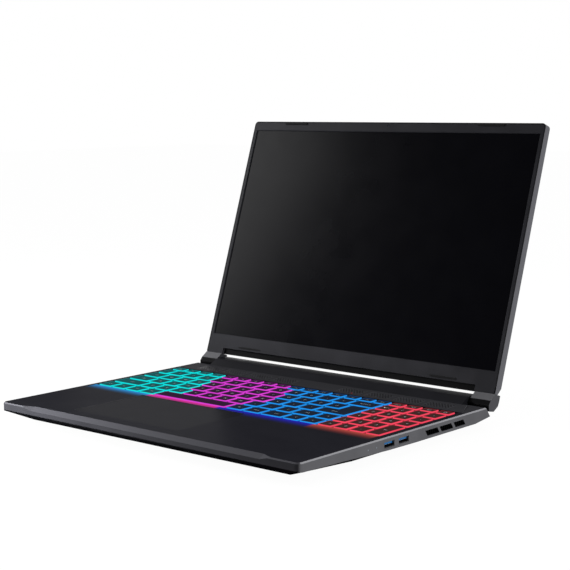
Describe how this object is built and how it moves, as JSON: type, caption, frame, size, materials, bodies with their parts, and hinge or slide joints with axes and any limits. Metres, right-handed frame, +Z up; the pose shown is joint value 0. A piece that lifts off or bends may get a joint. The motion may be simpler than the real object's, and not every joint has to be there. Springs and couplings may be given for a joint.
{
  "type": "laptop computer",
  "caption": "Open 16-inch laptop computer with lit keyboard zones, number pad, rear exhaust housing, side ports and a lid on two corner hinges.",
  "frame": {"origin": "centre of the bounding box in plan as the laptop stands open at 108.7 degrees, at the height of the feet's undersides", "axes": "+X to the user's right along the hinge, +Y from the front edge to the back, +Z up"},
  "size_m": [0.36, 0.3602, 0.2695],
  "materials": {
    "lid_metal": "anodised dark grey",
    "case_grey": "satin, fine grain",
    "underside_black": "matt",
    "housing_black": "satin",
    "tray_black": "matt",
    "bezel_black": "fine texture",
    "screen_black": "anti-glare film, switched off",
    "touchpad_satin": "satin",
    "glow_cyan": "lit light guide",
    "glow_magenta": "lit light guide",
    "glow_blue": "lit light guide",
    "glow_red": "lit light guide",
    "circuit_board": "solder mask",
    "fan_plastic": "matt",
    "fin_aluminium": "mill",
    "pipe_copper": "plain copper",
    "cell_wrap": "wrapped cells",
    "speaker_plastic": "matt",
    "bright_steel": "plated",
    "port_blue": "moulded",
    "port_black": "moulded",
    "light_pipe": "clear",
    "foot_rubber": "matt",
    "keycap_black": "satin with lit edges"
  },
  "bodies": {
    "base": {"audio_jack": "port_black", "backlight_centre": "glow_magenta", "backlight_left": "glow_cyan", "backlight_numpad": "glow_red", "backlight_right": "glow_blue", "battery_pack": "cell_wrap", "bottom_cover": "underside_black", "bottom_screws": "bright_steel", "dc_inlet": "port_black", "deck_vent_mesh": "housing_black", "ethernet_jack": "port_black", "exhaust_housing": "housing_black", "exhaust_louvres": "underside_black", "fan_housings": "underside_black", "heat_pipes": "pipe_copper", "heat_sinks": "fin_aluminium", "hinge_brackets": "bright_steel", "keyboard_tray": "tray_black", "mainboard": "circuit_board", "memory_modules": "circuit_board", "rear_receptacles": "bright_steel", "rubber_feet": "foot_rubber", "side_vent_grilles": "underside_black", "speakers": "speaker_plastic", "ssd": "circuit_board", "status_lights": "light_pipe", "top_case": "case_grey", "touchpad_frame": "underside_black", "usb_a_ports": "bright_steel", "usb_a_tongues": "port_blue"},
    "lid": {"lid_back_cover": "lid_metal", "screen_bezel": "bezel_black", "display_panel": "screen_black", "display_driver_board": "circuit_board", "camera_module": "bezel_black", "bumper_pads": "foot_rubber", "hinge_cover_right": "case_grey", "hinge_cover_left": "case_grey", "hinge_arm_right": "bright_steel", "hinge_arm_left": "bright_steel"},
    "touchpad": {"touchpad": "touchpad_satin"},
    "fan_rotor_left": {"fan_rotor_left": "fan_plastic"},
    "fan_rotor_right": {"fan_rotor_right": "fan_plastic"},
    "keys_function": {"keys_function": "keycap_black"},
    "keys_number_row": {"keys_number_row": "keycap_black"},
    "key_backspace": {"key_backspace": "keycap_black"},
    "key_tab": {"key_tab": "keycap_black"},
    "keys_upper_letters": {"keys_upper_letters": "keycap_black"},
    "key_caps_lock": {"key_caps_lock": "keycap_black"},
    "keys_home_letters": {"keys_home_letters": "keycap_black"},
    "key_enter": {"key_enter": "keycap_black"},
    "key_shift_left": {"key_shift_left": "keycap_black"},
    "keys_lower_letters": {"keys_lower_letters": "keycap_black"},
    "key_shift_right": {"key_shift_right": "keycap_black"},
    "keys_modifiers": {"keys_modifiers": "keycap_black"},
    "key_space": {"key_space": "keycap_black"},
    "keys_arrows": {"keys_arrows": "keycap_black"},
    "keys_numpad": {"keys_numpad": "keycap_black"},
    "key_numpad_enter": {"key_numpad_enter": "keycap_black"},
    "key_power": {"key_power": "keycap_black"}
  },
  "joints": [
    {"name": "lid_hinge", "type": "hinge", "parent": "base", "child": "lid", "pos_m": [0, 0.08685, 0.0198], "axis": [-1, 0, 0], "range_deg": [-108.7, 21.3]},
    {"name": "touchpad_click", "type": "hinge", "parent": "base", "child": "touchpad", "pos_m": [-0.03575, -0.07715, 0.0175], "axis": [1, 0, 0], "range_deg": [0, 0.28], "stiffness_Nm_per_rad": 24, "springref_deg": -0.11},
    {"name": "fan_right_spin", "type": "hinge", "parent": "base", "child": "fan_rotor_right", "pos_m": [0.118, 0.01685, 0.008], "axis": [0, 0, 1], "continuous": true},
    {"name": "fan_left_spin", "type": "hinge", "parent": "base", "child": "fan_rotor_left", "pos_m": [-0.118, 0.01685, 0.008], "axis": [0, 0, 1], "continuous": true},
    {"name": "function_press", "type": "slide", "parent": "base", "child": "keys_function", "axis": [0, 0, -1], "range_m": [0, 0.0015], "stiffness_N_per_m": 5600, "springref_m": -0.0008},
    {"name": "number_row_press", "type": "slide", "parent": "base", "child": "keys_number_row", "axis": [0, 0, -1], "range_m": [0, 0.0015], "stiffness_N_per_m": 4550, "springref_m": -0.0008},
    {"name": "backspace_press", "type": "slide", "parent": "base", "child": "key_backspace", "axis": [0, 0, -1], "range_m": [0, 0.0015], "stiffness_N_per_m": 350, "springref_m": -0.0008},
    {"name": "tab_press", "type": "slide", "parent": "base", "child": "key_tab", "axis": [0, 0, -1], "range_m": [0, 0.0015], "stiffness_N_per_m": 350, "springref_m": -0.0008},
    {"name": "upper_letters_press", "type": "slide", "parent": "base", "child": "keys_upper_letters", "axis": [0, 0, -1], "range_m": [0, 0.0015], "stiffness_N_per_m": 4200, "springref_m": -0.0008},
    {"name": "caps_lock_press", "type": "slide", "parent": "base", "child": "key_caps_lock", "axis": [0, 0, -1], "range_m": [0, 0.0015], "stiffness_N_per_m": 350, "springref_m": -0.0008},
    {"name": "home_letters_press", "type": "slide", "parent": "base", "child": "keys_home_letters", "axis": [0, 0, -1], "range_m": [0, 0.0015], "stiffness_N_per_m": 3850, "springref_m": -0.0008},
    {"name": "enter_press", "type": "slide", "parent": "base", "child": "key_enter", "axis": [0, 0, -1], "range_m": [0, 0.0015], "stiffness_N_per_m": 350, "springref_m": -0.0008},
    {"name": "shift_left_press", "type": "slide", "parent": "base", "child": "key_shift_left", "axis": [0, 0, -1], "range_m": [0, 0.0015], "stiffness_N_per_m": 350, "springref_m": -0.0008},
    {"name": "lower_letters_press", "type": "slide", "parent": "base", "child": "keys_lower_letters", "axis": [0, 0, -1], "range_m": [0, 0.0015], "stiffness_N_per_m": 3500, "springref_m": -0.0008},
    {"name": "shift_right_press", "type": "slide", "parent": "base", "child": "key_shift_right", "axis": [0, 0, -1], "range_m": [0, 0.0015], "stiffness_N_per_m": 350, "springref_m": -0.0008},
    {"name": "modifiers_press", "type": "slide", "parent": "base", "child": "keys_modifiers", "axis": [0, 0, -1], "range_m": [0, 0.0015], "stiffness_N_per_m": 2450, "springref_m": -0.0008},
    {"name": "space_press", "type": "slide", "parent": "base", "child": "key_space", "axis": [0, 0, -1], "range_m": [0, 0.0015], "stiffness_N_per_m": 350, "springref_m": -0.0008},
    {"name": "arrows_press", "type": "slide", "parent": "base", "child": "keys_arrows", "axis": [0, 0, -1], "range_m": [0, 0.0015], "stiffness_N_per_m": 1400, "springref_m": -0.0008},
    {"name": "numpad_press", "type": "slide", "parent": "base", "child": "keys_numpad", "axis": [0, 0, -1], "range_m": [0, 0.0015], "stiffness_N_per_m": 7000, "springref_m": -0.0008},
    {"name": "numpad_enter_press", "type": "slide", "parent": "base", "child": "key_numpad_enter", "axis": [0, 0, -1], "range_m": [0, 0.0015], "stiffness_N_per_m": 350, "springref_m": -0.0008},
    {"name": "power_press", "type": "slide", "parent": "base", "child": "key_power", "axis": [0, 0, -1], "range_m": [0, 0.0015], "stiffness_N_per_m": 350, "springref_m": -0.0008}
  ]
}
